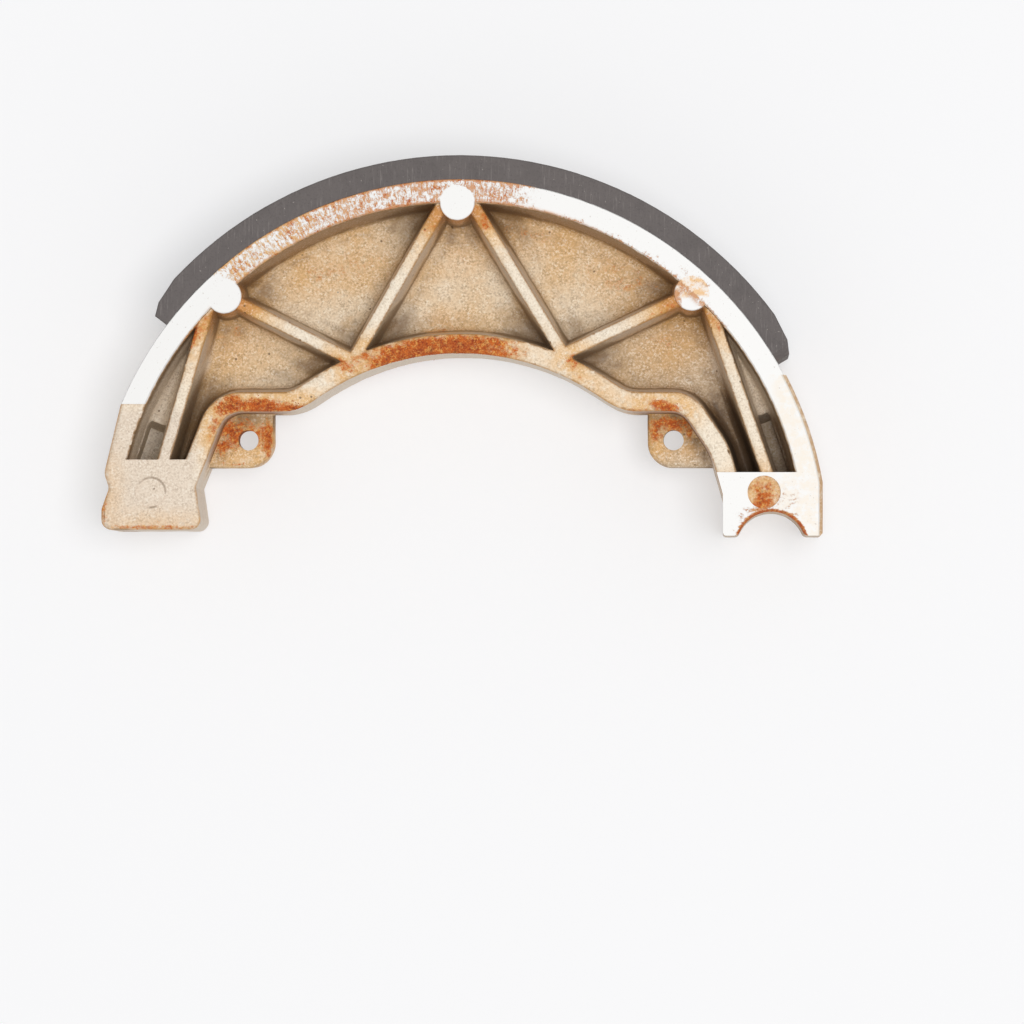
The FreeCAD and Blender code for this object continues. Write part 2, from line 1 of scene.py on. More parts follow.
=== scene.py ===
"""Finishes, weathering, studio and camera for a die-cast brake shoe with a bonded lining."""
import logging
import math
from dataclasses import dataclass, field
from enum import Enum
from typing import Any, Dict, List, Optional, Tuple, Union

import bmesh
import bpy
import numpy as np
from bpy.types import ID, Material, Mesh, Node, NodeSocket, NodeTree, Object, World
from mathutils import Matrix, Vector
from mathutils.bvhtree import BVHTree


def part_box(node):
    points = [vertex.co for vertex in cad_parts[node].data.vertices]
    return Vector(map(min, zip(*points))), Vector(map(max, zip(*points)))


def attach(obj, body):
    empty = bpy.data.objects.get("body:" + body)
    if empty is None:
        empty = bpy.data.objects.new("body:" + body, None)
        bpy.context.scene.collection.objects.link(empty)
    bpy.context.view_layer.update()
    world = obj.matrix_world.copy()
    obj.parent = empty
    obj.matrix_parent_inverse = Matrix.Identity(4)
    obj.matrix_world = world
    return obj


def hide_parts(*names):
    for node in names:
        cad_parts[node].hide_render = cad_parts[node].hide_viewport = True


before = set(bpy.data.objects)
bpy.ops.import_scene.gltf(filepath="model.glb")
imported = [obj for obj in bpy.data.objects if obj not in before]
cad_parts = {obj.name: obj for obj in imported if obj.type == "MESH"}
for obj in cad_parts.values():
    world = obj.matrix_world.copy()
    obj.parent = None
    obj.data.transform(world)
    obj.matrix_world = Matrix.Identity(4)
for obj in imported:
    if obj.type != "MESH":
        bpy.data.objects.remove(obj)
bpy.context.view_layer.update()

LOG = logging.getLogger("brake_shoe")

MM = 0.001
CM2_PER_M2 = 1e4
WHITE = (1.0, 1.0, 1.0)

# Places on the shoe are in millimetres, with the drum axis at x = y = 0 and the back face at z = 0.
DRUM_AXIS_X = -55.4 * MM
MIDPLANE = 14.0
RIM_RADIUS = 61.0
PIN_CENTRE = (55.4, 0.0)
CAM_MARK_CENTRE = (-54.8, 9.6)

# Numbers stored on the corners of the meshes
RUST_ATTRIBUTE = "rust_strength"
HALO_ATTRIBUTE = "rust_halo"
SHELTER_ATTRIBUTE = "shelter"
STREWN_ATTRIBUTE = "strewn"
SKIN_ATTRIBUTE = "uneven_skin"

# How meshes are cut, looked at and shaded
CUT_SNAP = 1e-7
RAY_LIFT_MM = 0.05
GRAZING = 0.1
NORMAL_WEIGHT = 80

Pair = Tuple[float, float]
Colour = Tuple[float, float, float]
Socket = NodeSocket
Operand = Union["Value", float]
Coat = Tuple[Any, Operand]


class Slot(Enum):
    """Material slots of the record."""

    CASTING = "cast_aluminium"
    LINING = "lining"


class Level(Enum):
    """Heights on the shoe, as (lowest, highest) in millimetres above the back face."""

    WEB = (13.0, 26.0)
    CREST = (26.6, 27.7)
    MACHINED = (27.75, 28.2)
    EAR = (10.0, 18.5)
    BACK = (0.3, 1.4)


def tone(red: int, green: int, blue: int) -> Colour:
    """Linear colour of a display colour with channels from 0 to 255."""
    def linear(channel: int) -> float:
        share = channel / 255
        return share / 12.92 if share <= 0.04045 else ((share + 0.055) / 1.055) ** 2.4
    return linear(red), linear(green), linear(blue)


class Value:
    """Number on a socket. An expression on values adds its Math nodes to the graph."""

    def __init__(self, graph: "Graph", socket: Socket) -> None:
        """Wrap a socket.

        Args:
            graph: the graph that the socket belongs to.
            socket: an output socket that gives a number.
        """
        self.graph = graph
        self.socket = socket

    def __add__(self, other: Operand) -> "Value":
        """Sum."""
        return self.graph.math("ADD", self, other)

    def __radd__(self, other: Operand) -> "Value":
        """Sum with a number on the left."""
        return self.graph.math("ADD", other, self)

    def __sub__(self, other: Operand) -> "Value":
        """Difference."""
        return self.graph.math("SUBTRACT", self, other)

    def __rsub__(self, other: Operand) -> "Value":
        """Difference from a number on the left."""
        return self.graph.math("SUBTRACT", other, self)

    def __mul__(self, other: Operand) -> "Value":
        """Product."""
        return self.graph.math("MULTIPLY", self, other)

    def __rmul__(self, other: Operand) -> "Value":
        """Product with a number on the left."""
        return self.graph.math("MULTIPLY", other, self)

    def __abs__(self) -> "Value":
        """Size without its sign."""
        return self.graph.math("ABSOLUTE", self)

    def at_most(self, other: Operand) -> "Value":
        """The smaller of two."""
        return self.graph.math("MINIMUM", self, other)

    def at_least(self, other: Operand) -> "Value":
        """The larger of two."""
        return self.graph.math("MAXIMUM", self, other)

    def ramp(self, low: float, high: float) -> "Value":
        """Smooth step from 0 at low to 1 at high."""
        node = self.graph.node(
            "ShaderNodeMapRange", {"interpolation_type": "SMOOTHSTEP"},
            {"Value": self, "From Min": low, "From Max": high, "To Min": 0.0, "To Max": 1.0})
        return Value(self.graph, node.outputs["Result"])

    def fall(self, low: float, high: float) -> "Value":
        """Smooth step from 1 at low to 0 at high."""
        return 1 - self.ramp(low, high)

    def within(self, low: float, high: float, soft: float) -> "Value":
        """1 between two limits and 0 outside them, with soft edges."""
        return self.ramp(low - soft, low + soft) * self.fall(high - soft, high + soft)


class Graph:
    """Node tree in the making, of a material or of geometry."""

    def __init__(self, tree: NodeTree) -> None:
        """Take a tree and empty it.

        Args:
            tree: the node tree to fill.
        """
        self.tree = tree
        self.tree.nodes.clear()

    @staticmethod
    def find(sockets: Any, key: Union[str, int]) -> Socket:
        """Socket by its number, identifier or name."""
        if isinstance(key, int):
            return sockets[key]
        for socket in sockets:
            if socket.identifier == key:
                return socket
        return sockets[key]

    def node(self, kind: str, settings: Optional[Dict[str, Any]] = None,
             inputs: Optional[Dict[Union[str, int], Any]] = None) -> Node:
        """Add a node.

        Args:
            kind: its type.
            settings: its attributes, set first.
            inputs: the values or links of its sockets.

        Returns:
            The new node.
        """
        new = self.tree.nodes.new(kind)
        for key, value in (settings or {}).items():
            setattr(new, key, value)
        for key, value in (inputs or {}).items():
            socket = self.find(new.inputs, key)
            if isinstance(value, Value):
                value = value.socket
            if isinstance(value, Socket):
                self.tree.links.new(value, socket)
            elif socket.type == "RGBA" and len(value) == 3:
                socket.default_value = (*value, 1.0)
            else:
                socket.default_value = value
        return new

    def math(self, operation: str, *operands: Operand) -> Value:
        """Math node on up to three operands."""
        node = self.node("ShaderNodeMath", {"operation": operation}, dict(enumerate(operands)))
        return Value(self, node.outputs[0])

    def vector(self, operation: str, *operands: Any) -> Socket:
        """Vector Math node that gives a vector."""
        inputs = dict(enumerate(operands))
        node = self.node("ShaderNodeVectorMath", {"operation": operation}, inputs)
        return node.outputs["Vector"]

    def length(self, vector: Socket) -> Value:
        """Length of a vector."""
        node = self.node("ShaderNodeVectorMath", {"operation": "LENGTH"}, {0: vector})
        return Value(self, node.outputs["Value"])

    def parts(self, vector: Socket) -> List[Value]:
        """The three numbers of a vector."""
        node = self.node("ShaderNodeSeparateXYZ", inputs={0: vector})
        return [Value(self, socket) for socket in node.outputs]

    def mix(self, first: Any, second: Any, share: Operand) -> Socket:
        """Colour between a first one, at share 0, and a second one, at share 1."""
        node = self.node("ShaderNodeMix", {"data_type": "RGBA"}, {
            "Factor_Float": share, "A_Color": first, "B_Color": second})
        return self.find(node.outputs, "Result_Color")

    def coats(self, base: Any, *coats: Coat) -> Socket:
        """Colour of a base under coats. Each is a colour and the share of what it hides."""
        for colour, share in coats:
            base = self.mix(base, colour, share)
        return base

    def noise(self, place: Socket, scale: float, detail: float = 2.0,
              roughness: float = 0.55, shift: float = 0.0) -> Value:
        """Smooth noise from 0 to 1.

        Args:
            place: the vector that it reads.
            scale: how many lumps lie along one unit of the vector.
            detail: how many finer layers it has.
            roughness: how strong the finer layers are.
            shift: an offset that sets two noises of the same scale apart.

        Returns:
            The noise's value.
        """
        if shift:
            place = self.vector("ADD", place, (shift, -shift, shift))
        node = self.node("ShaderNodeTexNoise", inputs={
            "Vector": place, "Scale": scale, "Detail": detail, "Roughness": roughness})
        return Value(self, self.find(node.outputs, "Fac"))

    def attribute(self, name: str) -> Value:
        """Number stored on the mesh."""
        if self.tree.type == "GEOMETRY":
            node = self.node(
                "GeometryNodeInputNamedAttribute", {"data_type": "FLOAT"}, {"Name": name})
            return Value(self, node.outputs["Attribute"])
        node = self.node("ShaderNodeAttribute", {"attribute_name": name})
        return Value(self, node.outputs["Fac"])

    def cells(self, place: Socket, scale: float) -> Tuple[Value, Value]:
        """Random cells.

        Args:
            place: the vector that they read.
            scale: how many cells lie along one unit of the vector.

        Returns:
            The distance from each cell's middle, and a random number for each cell.
        """
        node = self.node("ShaderNodeTexVoronoi", inputs={"Vector": place, "Scale": scale})
        tint = self.parts(node.outputs["Color"])[0]
        return Value(self, node.outputs["Distance"]), tint


def shader_graph(owner: Union[Material, World]) -> Graph:
    """Emptied shader tree of a material or a world."""
    owner.use_nodes = True
    return Graph(owner.node_tree)


class Spot:
    """A place on the shoe, in millimetres, with the drum axis at x = y = 0."""

    def __init__(self, graph: Graph, position: Socket) -> None:
        """Work out the place.

        Args:
            graph: the graph that reads it.
            position: the place in metres, in the frame of the shoe.
        """
        scale = 1 / MM
        self.graph = graph
        self.vector = graph.vector("MULTIPLY_ADD", position, (scale, scale, scale),
                                   (-DRUM_AXIS_X * scale, 0.0, 0.0))
        self.flat = graph.vector("MULTIPLY", self.vector, (1.0, 1.0, 0.0))
        self.x, self.y, self.z = graph.parts(self.vector)
        self.depth = abs(self.z - MIDPLANE)
        self.radius = graph.length(self.flat)

    def from_centre(self, x: float, y: float) -> Value:
        """Distance from a line that runs across the shoe's width, in millimetres."""
        return self.graph.length(self.graph.vector("SUBTRACT", self.flat, (x, y, 0.0)))

    def noise(self, *settings: Operand) -> Value:
        """Noise over the shoe: lumps per millimetre first, then as for the graph's noise."""
        return self.graph.noise(self.vector, *settings)

    def round_the_drum(self, along: float, outward: float, across: float) -> Socket:
        """Vector for noise that runs with the rim.

        Args:
            along: how many lumps lie along one millimetre of the rim.
            outward: how many lie along one millimetre away from the drum axis.
            across: how many lie along one millimetre of the shoe's width.

        Returns:
            The vector's socket.
        """
        turn = self.graph.math("ARCTAN2", self.y, self.x) * RIM_RADIUS
        node = self.graph.node("ShaderNodeCombineXYZ", inputs={
            "X": turn * along, "Y": self.radius * outward, "Z": self.z * across})
        return node.outputs["Vector"]


class Paint:
    """Material in the making, which reads its place on the shoe."""

    def __init__(self, name: str) -> None:
        """Start the material.

        Args:
            name: its name.
        """
        self.material = bpy.data.materials.new(name)
        self.graph = shader_graph(self.material)
        coordinates = self.graph.node("ShaderNodeTexCoord").outputs
        self.spot = Spot(self.graph, coordinates["Object"])
        self.normal = coordinates["Normal"]

    def close(self, colour: Socket, roughness: Operand,
              height: Optional[Value] = None, metallic: Operand = 0.0) -> Material:
        """End the material with its shader.

        Args:
            colour: its base colour.
            roughness: its roughness.
            height: its fine relief in millimetres, shown as bump.
            metallic: how metallic it is.

        Returns:
            The finished material.
        """
        inputs = {"Base Color": colour, "Metallic": metallic, "Roughness": roughness}
        if height is not None:
            bump = self.graph.node("ShaderNodeBump", inputs={
                "Strength": 1.0, "Distance": MM, "Height": height})
            inputs["Normal"] = bump.outputs["Normal"]
        shader = self.graph.node("ShaderNodeBsdfPrincipled", inputs=inputs)
        self.graph.node("ShaderNodeOutputMaterial", inputs={"Surface": shader.outputs["BSDF"]})
        return self.material


def smooth_step(low: float, high: float, value: np.ndarray) -> np.ndarray:
    """Smooth step from 0 at low to 1 at high, for an array."""
    share = np.clip((value - low) / (high - low), 0.0, 1.0)
    return share * share * (3.0 - 2.0 * share)


@dataclass(frozen=True)
class Stain:
    """Soft oval patch of rust. Sizes are half axes in millimetres, and turn is in degrees."""

    x: float
    y: float
    length: float
    width: float
    turn: float = 0.0
    strength: float = 1.0

    def strength_at(self, x: np.ndarray, y: np.ndarray, grow: float = 0.0) -> np.ndarray:
        """Strength of the patch at places about the drum axis, grown by a margin."""
        turn = math.radians(self.turn)
        along = (x - self.x) * math.cos(turn) + (y - self.y) * math.sin(turn)
        across = (y - self.y) * math.cos(turn) - (x - self.x) * math.sin(turn)
        reach = np.hypot(along / (self.length + grow), across / (self.width + grow))
        return self.strength * (1.0 - smooth_step(0.2, 1.7, reach))


@dataclass(frozen=True)
class Arc:
    """Soft stretch of rust along an arc.

    Angles are degrees about a point on the shoe's middle line. Soft is the width of the faded
    edge, as a share of the stretch's half size.
    """

    start: float
    end: float
    inner: float
    outer: float
    strength: float = 1.0
    centre_y: float = 0.0
    soft: float = 0.8

    def strength_at(self, x: np.ndarray, y: np.ndarray, grow: float = 0.0) -> np.ndarray:
        """Strength of the stretch at places about the drum axis, grown by a margin."""
        middle, half = (self.inner + self.outer) / 2, (self.outer - self.inner) / 2 + grow
        centre_angle, half_angle = (self.start + self.end) / 2, (self.end - self.start) / 2
        along = np.abs(np.degrees(np.arctan2(y - self.centre_y, x)) - centre_angle) / half_angle
        across = np.abs(np.hypot(x, y - self.centre_y) - middle) / half
        fade = smooth_step(1 - self.soft, 1 + self.soft, np.maximum(along, across))
        return self.strength * (1.0 - fade)


Patch = Union[Stain, Arc]
CROWN_CENTRE_Y = -9.3
CREST_STAINS = (
    Arc(77.0, 113.0, 42.4, 46.9, 0.94, CROWN_CENTRE_Y, 0.5),
    Stain(-1.0, 35.4, 7.5, 1.0, 0.0, 1.1),
    Stain(-19.0, 31.2, 2.0, 1.0, 32.0, 0.7),
    Stain(-40.6, 25.4, 3.0, 1.9, 25.0, 1.0),
    Stain(-35.0, 25.0, 4.5, 1.5, 0.0, 1.0),
    Stain(-29.0, 24.5, 4.2, 0.8, 3.0, 0.95),
    Stain(-43.2, 21.8, 3.6, 0.9, 66.0, 0.75),
    Stain(36.4, 24.8, 3.4, 1.1, -12.0, 1.0),
    Stain(30.0, 24.1, 6.0, 0.5, 0.0, 0.6),
    Stain(22.0, 29.6, 7.0, 0.5, -34.0, 0.5),
    Stain(-5.0, 57.0, 5.0, 1.4, 62.0, 0.5),
    Stain(4.6, 57.8, 4.2, 1.4, -60.0, 0.56),
    Stain(-36.8, 42.1, 3.6, 1.4, -28.0, 0.54),
    Stain(-46.8, 38.4, 5.0, 1.8, 68.0, 0.6),
    Stain(36.2, 41.8, 3.6, 1.4, 28.0, 0.54),
    Stain(45.4, 39.6, 5.0, 1.1, -62.0, 0.46),
    Stain(-43.8, 30.8, 4.6, 0.5, 74.0, 0.5),
    Stain(-20.6, 32.4, 2.6, 1.4, -35.0, 0.6),
    Stain(20.4, 33.2, 1.7, 1.2, 0.0, 0.75),
    Stain(-63.2, 9.0, 0.8, 6.0, 0.0, 0.6),
    Stain(-55.0, 3.4, 8.5, 0.5, 0.0, 0.62),
    Stain(54.1, 9.6, 3.6, 3.4, 0.0, 0.6),
    Stain(54.1, 9.2, 1.7, 1.5, 0.0, 0.95),
    Stain(54.1, 7.4, 2.2, 0.7, 0.0, 1.0),
)
EAR_STAINS = (
    Stain(-39.5, 20.8, 5.5, 3.0, -8.0, 0.72),
    Stain(-34.6, 19.4, 1.2, 3.6, 0.0, 0.95),
    Stain(-41.8, 18.4, 2.6, 1.7, 35.0, 0.85),
    Stain(-40.0, 14.9, 3.0, 0.6, 0.0, 0.5),
    Stain(37.5, 21.9, 4.6, 1.5, -4.0, 0.85),
    Stain(35.0, 19.8, 1.4, 2.2, 0.0, 0.75),
    Stain(40.6, 20.4, 1.0, 2.0, 0.0, 0.7),
)
WEB_STAINS = (
    Stain(-22.0, 49.8, 9.0, 3.2, 14.0, 0.34),
    Stain(28.5, 48.2, 8.0, 3.4, -24.0, 0.36),
    Stain(37.5, 36.2, 4.0, 2.6, 0.0, 0.3),
    Stain(-40.6, 37.6, 3.0, 2.2, 0.0, 0.38),
    Stain(13.0, 55.6, 6.0, 1.8, -14.0, 0.36),
    Stain(1.0, 51.5, 2.6, 1.4, 0.0, 0.24),
    Stain(-3.4, 38.6, 2.4, 0.7, 10.0, 0.55),
)
MILLED_STAINS = (
    Arc(79.0, 131.0, 58.0, 68.0, 0.55, 0.0, 0.1),
    Arc(44.0, 80.0, 60.4, 61.6, 0.4),
    Stain(42.2, 47.4, 3.0, 0.5, -38.0, 0.5),
    Stain(38.8, 43.6, 0.5, 1.8, 10.0, 0.4),
    Stain(54.1, 6.5, 2.6, 0.5, 0.0, 0.85),
    Stain(49.9, 4.4, 2.2, 0.4, 62.0, 0.62),
    Stain(59.4, 4.6, 2.4, 0.5, -50.0, 0.56),
    Stain(58.4, 8.4, 1.7, 2.6, 20.0, 0.26),
)
BACK_STAINS = (
    Arc(88.0, 118.0, 42.8, 46.0, 0.8, CROWN_CENTRE_Y, 0.7),
    Stain(-38.0, 25.2, 4.5, 1.2, 8.0, 0.85),
    Stain(33.5, 24.8, 4.0, 0.9, -4.0, 0.7),
    Stain(-3.6, 57.0, 3.0, 1.2, 62.0, 0.6),
    Stain(37.4, 41.6, 2.6, 1.2, 28.0, 0.6),
    Stain(-55.0, 3.6, 7.0, 0.5, 0.0, 0.6),
)


@dataclass(frozen=True)
class Weathering:
    """Rust over the casting, as stains at each level of the shoe."""

    layers: Tuple[Tuple[Level, Tuple[Patch, ...]], ...] = (
        (Level.CREST, CREST_STAINS), (Level.EAR, EAR_STAINS), (Level.WEB, WEB_STAINS),
        (Level.MACHINED, MILLED_STAINS), (Level.BACK, BACK_STAINS))

    def strength_at(self, places: np.ndarray, grow: float = 0.0) -> np.ndarray:
        """Strength of the strongest stain at each place.

        Args:
            places: rows of x, y and z in millimetres, with the drum axis at x = y = 0.
            grow: a margin in millimetres by which each stain is wider.

        Returns:
            One strength for each row.
        """
        x, y, z = places.T
        strongest = np.zeros(len(places))
        for level, stains in self.layers:
            lowest, highest = level.value
            there = (z > lowest) & (z < highest)
            for stain in stains:
                strongest = np.maximum(strongest, stain.strength_at(x, y, grow) * there)
        return strongest


@dataclass(frozen=True)
class CastAluminium:
    """As-cast aluminium with sandy grain, bright machined faces, grime and painted shade in its
    corners and recesses, painted light on its slot floors, and rust.
    """

    name: str = "cast_aluminium_weathered"
    sand: Colour = tone(239, 219, 189)
    gold: Colour = tone(230, 192, 138)
    crest: Colour = tone(246, 232, 211)
    grain_dark: Colour = tone(132, 102, 68)
    grain_light: Colour = tone(255, 250, 238)
    # Dark brown of dirt, pits and the mark's outline, and painted shade in closed-in corners and on
    # walls.
    dirt_and_shade_brown: Colour = tone(112, 82, 50)
    edge: Colour = tone(204, 150, 84)
    machined: Colour = tone(238, 237, 235)
    # Painted light: the pale floor colour that lightens the slots.
    slot_painted_light: Colour = tone(240, 226, 206)
    film: Colour = tone(230, 176, 98)
    tarnish: Colour = tone(206, 138, 64)
    # Rust brown with painted shadow, for the walls over the ears.
    rust_and_flange_shadow: Colour = tone(146, 84, 42)
    # Darker floor colour, also used as painted shade on the rim's inner wall.
    dull_floor_and_rim_shade: Colour = tone(168, 132, 92)
    block_grey: Colour = tone(226, 208, 189)
    # Painted shade: near black brown of the recess by the right slot.
    recess_shade: Colour = tone(70, 50, 33)
    bare_wall: Colour = tone(222, 208, 192)
    rim_film: Colour = tone(218, 168, 130)
    rim_gold: Colour = tone(234, 196, 144)
    pale_ochre: Colour = tone(238, 190, 104)
    ochre: Colour = tone(220, 146, 66)
    orange: Colour = tone(204, 100, 30)
    red: Colour = tone(154, 54, 18)
    dark_crust: Colour = tone(92, 36, 16)
    grain_per_mm: float = 2.7
    grain_height: float = 0.07
    rust_height: float = 0.03
    metallic: float = 0.1
    roughness: float = 0.58
    clean_bosses: Tuple[Pair, ...] = ((-0.32, 61.0), (-41.76, 44.47))
    dull_boss: Pair = (41.29, 44.9)
    ear_holes: Tuple[Pair, ...] = ((-37.5, 18.9), (37.5, 18.9))
    boss_radius: float = 3.1
    cam_mark_radius: float = 2.7
    rim_middle: float = 63.1
    milled_depth: Pair = (13.72, 13.84)
    notch_edge: Pair = (6.25, 7.05)
    notch_height: Pair = (27.2, 27.5)
    notch_rust: float = 1.5

    def build(self) -> Material:
        """Make the material."""
        paint = Paint(self.name)
        graph, spot = paint.graph, paint.spot
        facing = abs(graph.parts(paint.normal)[2])
        grain = spot.noise(self.grain_per_mm, 3.0, 0.7)
        machined = spot.depth.ramp(*self.milled_depth)
        cast = self.cast_colour(spot, facing, grain)
        bare = graph.mix(cast, self.machined_colour(spot), machined)

        notch = spot.from_centre(*PIN_CENTRE).fall(*self.notch_edge)
        notch = notch * spot.z.ramp(*self.notch_height) * self.notch_rust
        stained = graph.attribute(RUST_ATTRIBUTE).at_least(notch) * self.off_clean_bosses(spot)
        rust = self.rust_amount(spot, stained, machined, grain)
        crust = self.rust_colour(spot, stained, rust, machined, grain)

        roughness = self.roughness - 0.08 * machined + 0.3 * rust
        height = grain * self.grain_height * (1 - 0.85 * machined) + rust * self.rust_height
        return paint.close(
            graph.mix(bare, crust, rust), roughness, height, self.metallic * (1 - rust))

    def off_clean_bosses(self, spot: Spot) -> Value:
        """0 on the bosses that carry no rust, and 1 elsewhere."""
        first, second = (spot.from_centre(*centre) for centre in self.clean_bosses)
        off_both = first.at_most(second).ramp(self.boss_radius - 0.15, self.boss_radius + 0.15)
        return off_both.at_least(spot.z.fall(27.6, 27.8))

    def cast_colour(self, spot: Spot, facing: Value, grain: Value) -> Socket:
        """Colour of the surface that is left as cast, with painted shade and painted light in its
        hollows.

        Args:
            spot: the place that is coloured.
            facing: how level the surface lies, from 0 on a wall to 1 on a face.
            grain: the noise of the sandy grain.

        Returns:
            The colour under the rust.
        """
        closed = spot.graph.attribute(SHELTER_ATTRIBUTE)
        ragged = spot.noise(0.5, 4.0, 0.7, 2.0)
        frayed = ragged.ramp(0.25, 0.55)
        golden = spot.noise(0.11, 3.0).ramp(0.4, 0.66) * 0.7 + spot.radius.ramp(46.0, 61.0) * 0.45
        golden = golden * (1 - spot.depth.ramp(6.0, 13.0) * 0.6)
        open_wall = facing.fall(0.3, 0.8) * closed.fall(0.05, 0.25)
        dull = spot.x.ramp(20.0, 42.0) * spot.depth.fall(4.0, 10.0)
        # Painted light: the slot floors are made paler, to stand in for light that their depth
        # keeps out, less so on their shaded side.
        slot = abs(spot.x).ramp(43.5, 45.5) * spot.radius.ramp(54.6, 56.2) * closed.ramp(0.1, 0.3)
        shaded = spot.x.ramp(40.0, 44.0) * spot.y.fall(22.0, 24.5)
        slot = slot * spot.depth.fall(9.0, 12.5) * (1 - shaded * 0.55)
        block = spot.x.fall(-48.0, -45.0) * spot.y.fall(23.0, 26.0) * spot.depth.ramp(11.0, 13.0)
        halo = spot.graph.attribute(HALO_ATTRIBUTE) * frayed * (1 - block * 0.5)
        edge = facing.fall(0.55, 0.97) * spot.depth.ramp(11.9, 12.9) * frayed
        # Painted shade: a darker brown band on the rim's inner wall, where shade falls under the
        # rim.
        under_rim_shade = spot.radius.ramp(57.8, 59.4) * spot.radius.fall(61.2, 61.6)
        under_rim_shade = under_rim_shade * facing.fall(0.35, 0.85) * spot.depth.ramp(3.0, 6.0)
        strength = 0.35 + spot.noise(0.9, 2.0, 0.6, 4.0).ramp(0.3, 0.7) * 0.65
        strength = strength * (1 - open_wall * 0.45) * (1 - spot.depth.ramp(12.0, 13.2) * 0.3)
        # Dirt and painted shade: walls, and corners closed in by nearby walls, are darkened, walls
        # more so lower down; not on the slot floors.
        sheltered = closed + (ragged - 0.5) * 0.3
        wall = facing.fall(0.25, 0.9) * sheltered.ramp(0.12, 0.35)
        wall = wall * (1 - spot.depth.ramp(4.0, 13.0) * 0.6)
        dirt_and_painted_shade = wall.at_least(sheltered.ramp(0.16, 0.68)) * (1 - slot * 0.92)
        # Painted shade: the recess by the right slot is darkened where nearby walls close it in.
        recess_shade = spot.x.ramp(36.0, 44.0) * spot.radius.fall(54.2, 55.6) * closed.ramp(0.4, 0.75)
        return spot.graph.coats(
            self.sand,
            (self.gold, golden),
            (self.crest, facing * spot.depth.ramp(11.5, 13.2) * 0.85),
            (self.bare_wall, open_wall * 0.8),
            (self.dull_floor_and_rim_shade, dull * 0.4),
            (self.slot_painted_light, slot),
            (self.block_grey, block * 0.7),
            (self.film, halo * 0.8),
            (self.edge, edge * 0.7),
            (self.dull_floor_and_rim_shade, under_rim_shade * (1 - slot) * 0.85),
            *self.tarnish_coats(spot, facing, ragged),
            (self.grain_dark, grain.fall(0.33, 0.56) * strength * 0.56),
            (self.grain_light, grain.ramp(0.5, 0.66) * strength * 0.66),
            (self.dirt_and_shade_brown, dirt_and_painted_shade * 0.75),
            (self.recess_shade, recess_shade * 0.75),
            (self.dirt_and_shade_brown, self.pits_and_mark(spot)))

    def tarnish_coats(self, spot: Spot, facing: Value, ragged: Value) -> List[Coat]:
        """Golden brown film on the ribs' ends at the bosses, and rust with painted shadow on the
        walls over the ears.

        Args:
            spot: the place that is coloured.
            facing: how level the surface lies, from 0 on a wall to 1 on a face.
            ragged: the noise that frays the film.

        Returns:
            The coats, from the lowest up.
        """
        bosses = [spot.from_centre(*centre) for centre in (*self.clean_bosses, self.dull_boss)]
        nearest = bosses[0].at_most(bosses[1]).at_most(bosses[2]) + (ragged - 0.5) * 7
        inside_rim = spot.radius.fall(60.4, 61.0)
        crest = nearest.fall(5.0, 10.0) * inside_rim * (0.35 + spot.depth.ramp(10.0, 12.6) * 0.6)
        ends = nearest.fall(4.2, 8.0) * inside_rim * spot.depth.ramp(3.0, 12.0)
        left, right = (spot.from_centre(*centre) for centre in self.ear_holes)
        # Rust and painted shadow: the walls round the ear holes are brown, where the flange shades
        # them.
        under = left.at_most(right).fall(6.4, 10.0) * facing.fall(0.35, 0.85)
        under = under * spot.depth.ramp(2.0, 4.0) * (1 - spot.depth.ramp(7.0, 13.0) * 0.6)
        return [(self.film, crest * 0.9), (self.tarnish, ends * 0.85),
                (self.rust_and_flange_shadow, under * 0.75)]

    def pits_and_mark(self, spot: Spot) -> Value:
        """Small dark pits, and the broken outline of the ejector mark on the cam end."""
        distance, tint = spot.graph.cells(spot.vector, 0.5)
        pit = distance.fall(0.07, 0.14) * tint.ramp(0.8, 0.84)
        radius = self.cam_mark_radius
        ring = spot.from_centre(*CAM_MARK_CENTRE).within(radius - 0.25, radius + 0.15, 0.12)
        broken = spot.noise(0.3, 2.0, 0.5, 6.0).ramp(0.42, 0.58)
        return (pit * 0.8).at_least(ring * spot.z.ramp(27.0, 27.2) * broken * 0.5)

    def machined_colour(self, spot: Spot) -> Socket:
        """Colour of the faces that were milled flat."""
        pits = spot.noise(2.2, 2.0, 0.6, 7.0).ramp(0.66, 0.74)
        patchy = spot.noise(0.7, 3.0, 0.7, 3.0)
        dull = patchy.ramp(0.3, 0.65) * spot.x.ramp(54.0, 57.5) * spot.y.fall(30.3, 30.6)
        capped = self.dull_cap(spot, patchy) * (0.2 + patchy.ramp(0.4, 0.6) * 0.6)
        inner_edge = spot.radius.fall(61.2, 61.9) * spot.y.ramp(40.0, 46.0)
        inner_edge = inner_edge * spot.x.fall(12.0, 30.0) * self.off_clean_bosses(spot)
        return spot.graph.coats(
            self.machined,
            (self.sand, dull * 0.4),
            (self.film, capped),
            (self.tarnish, inner_edge * (0.35 + patchy.ramp(0.35, 0.6) * 0.5)),
            (self.grain_dark, pits * 0.4))

    def dull_cap(self, spot: Spot, patchy: Value) -> Value:
        """1 on the upper half of the boss that isn't milled clean."""
        x, y = self.dull_boss
        inside = spot.from_centre(x, y).fall(self.boss_radius - 0.1, self.boss_radius + 0.1)
        return inside * (spot.y - y + (patchy - 0.5) * 3).ramp(-0.8, 0.4)

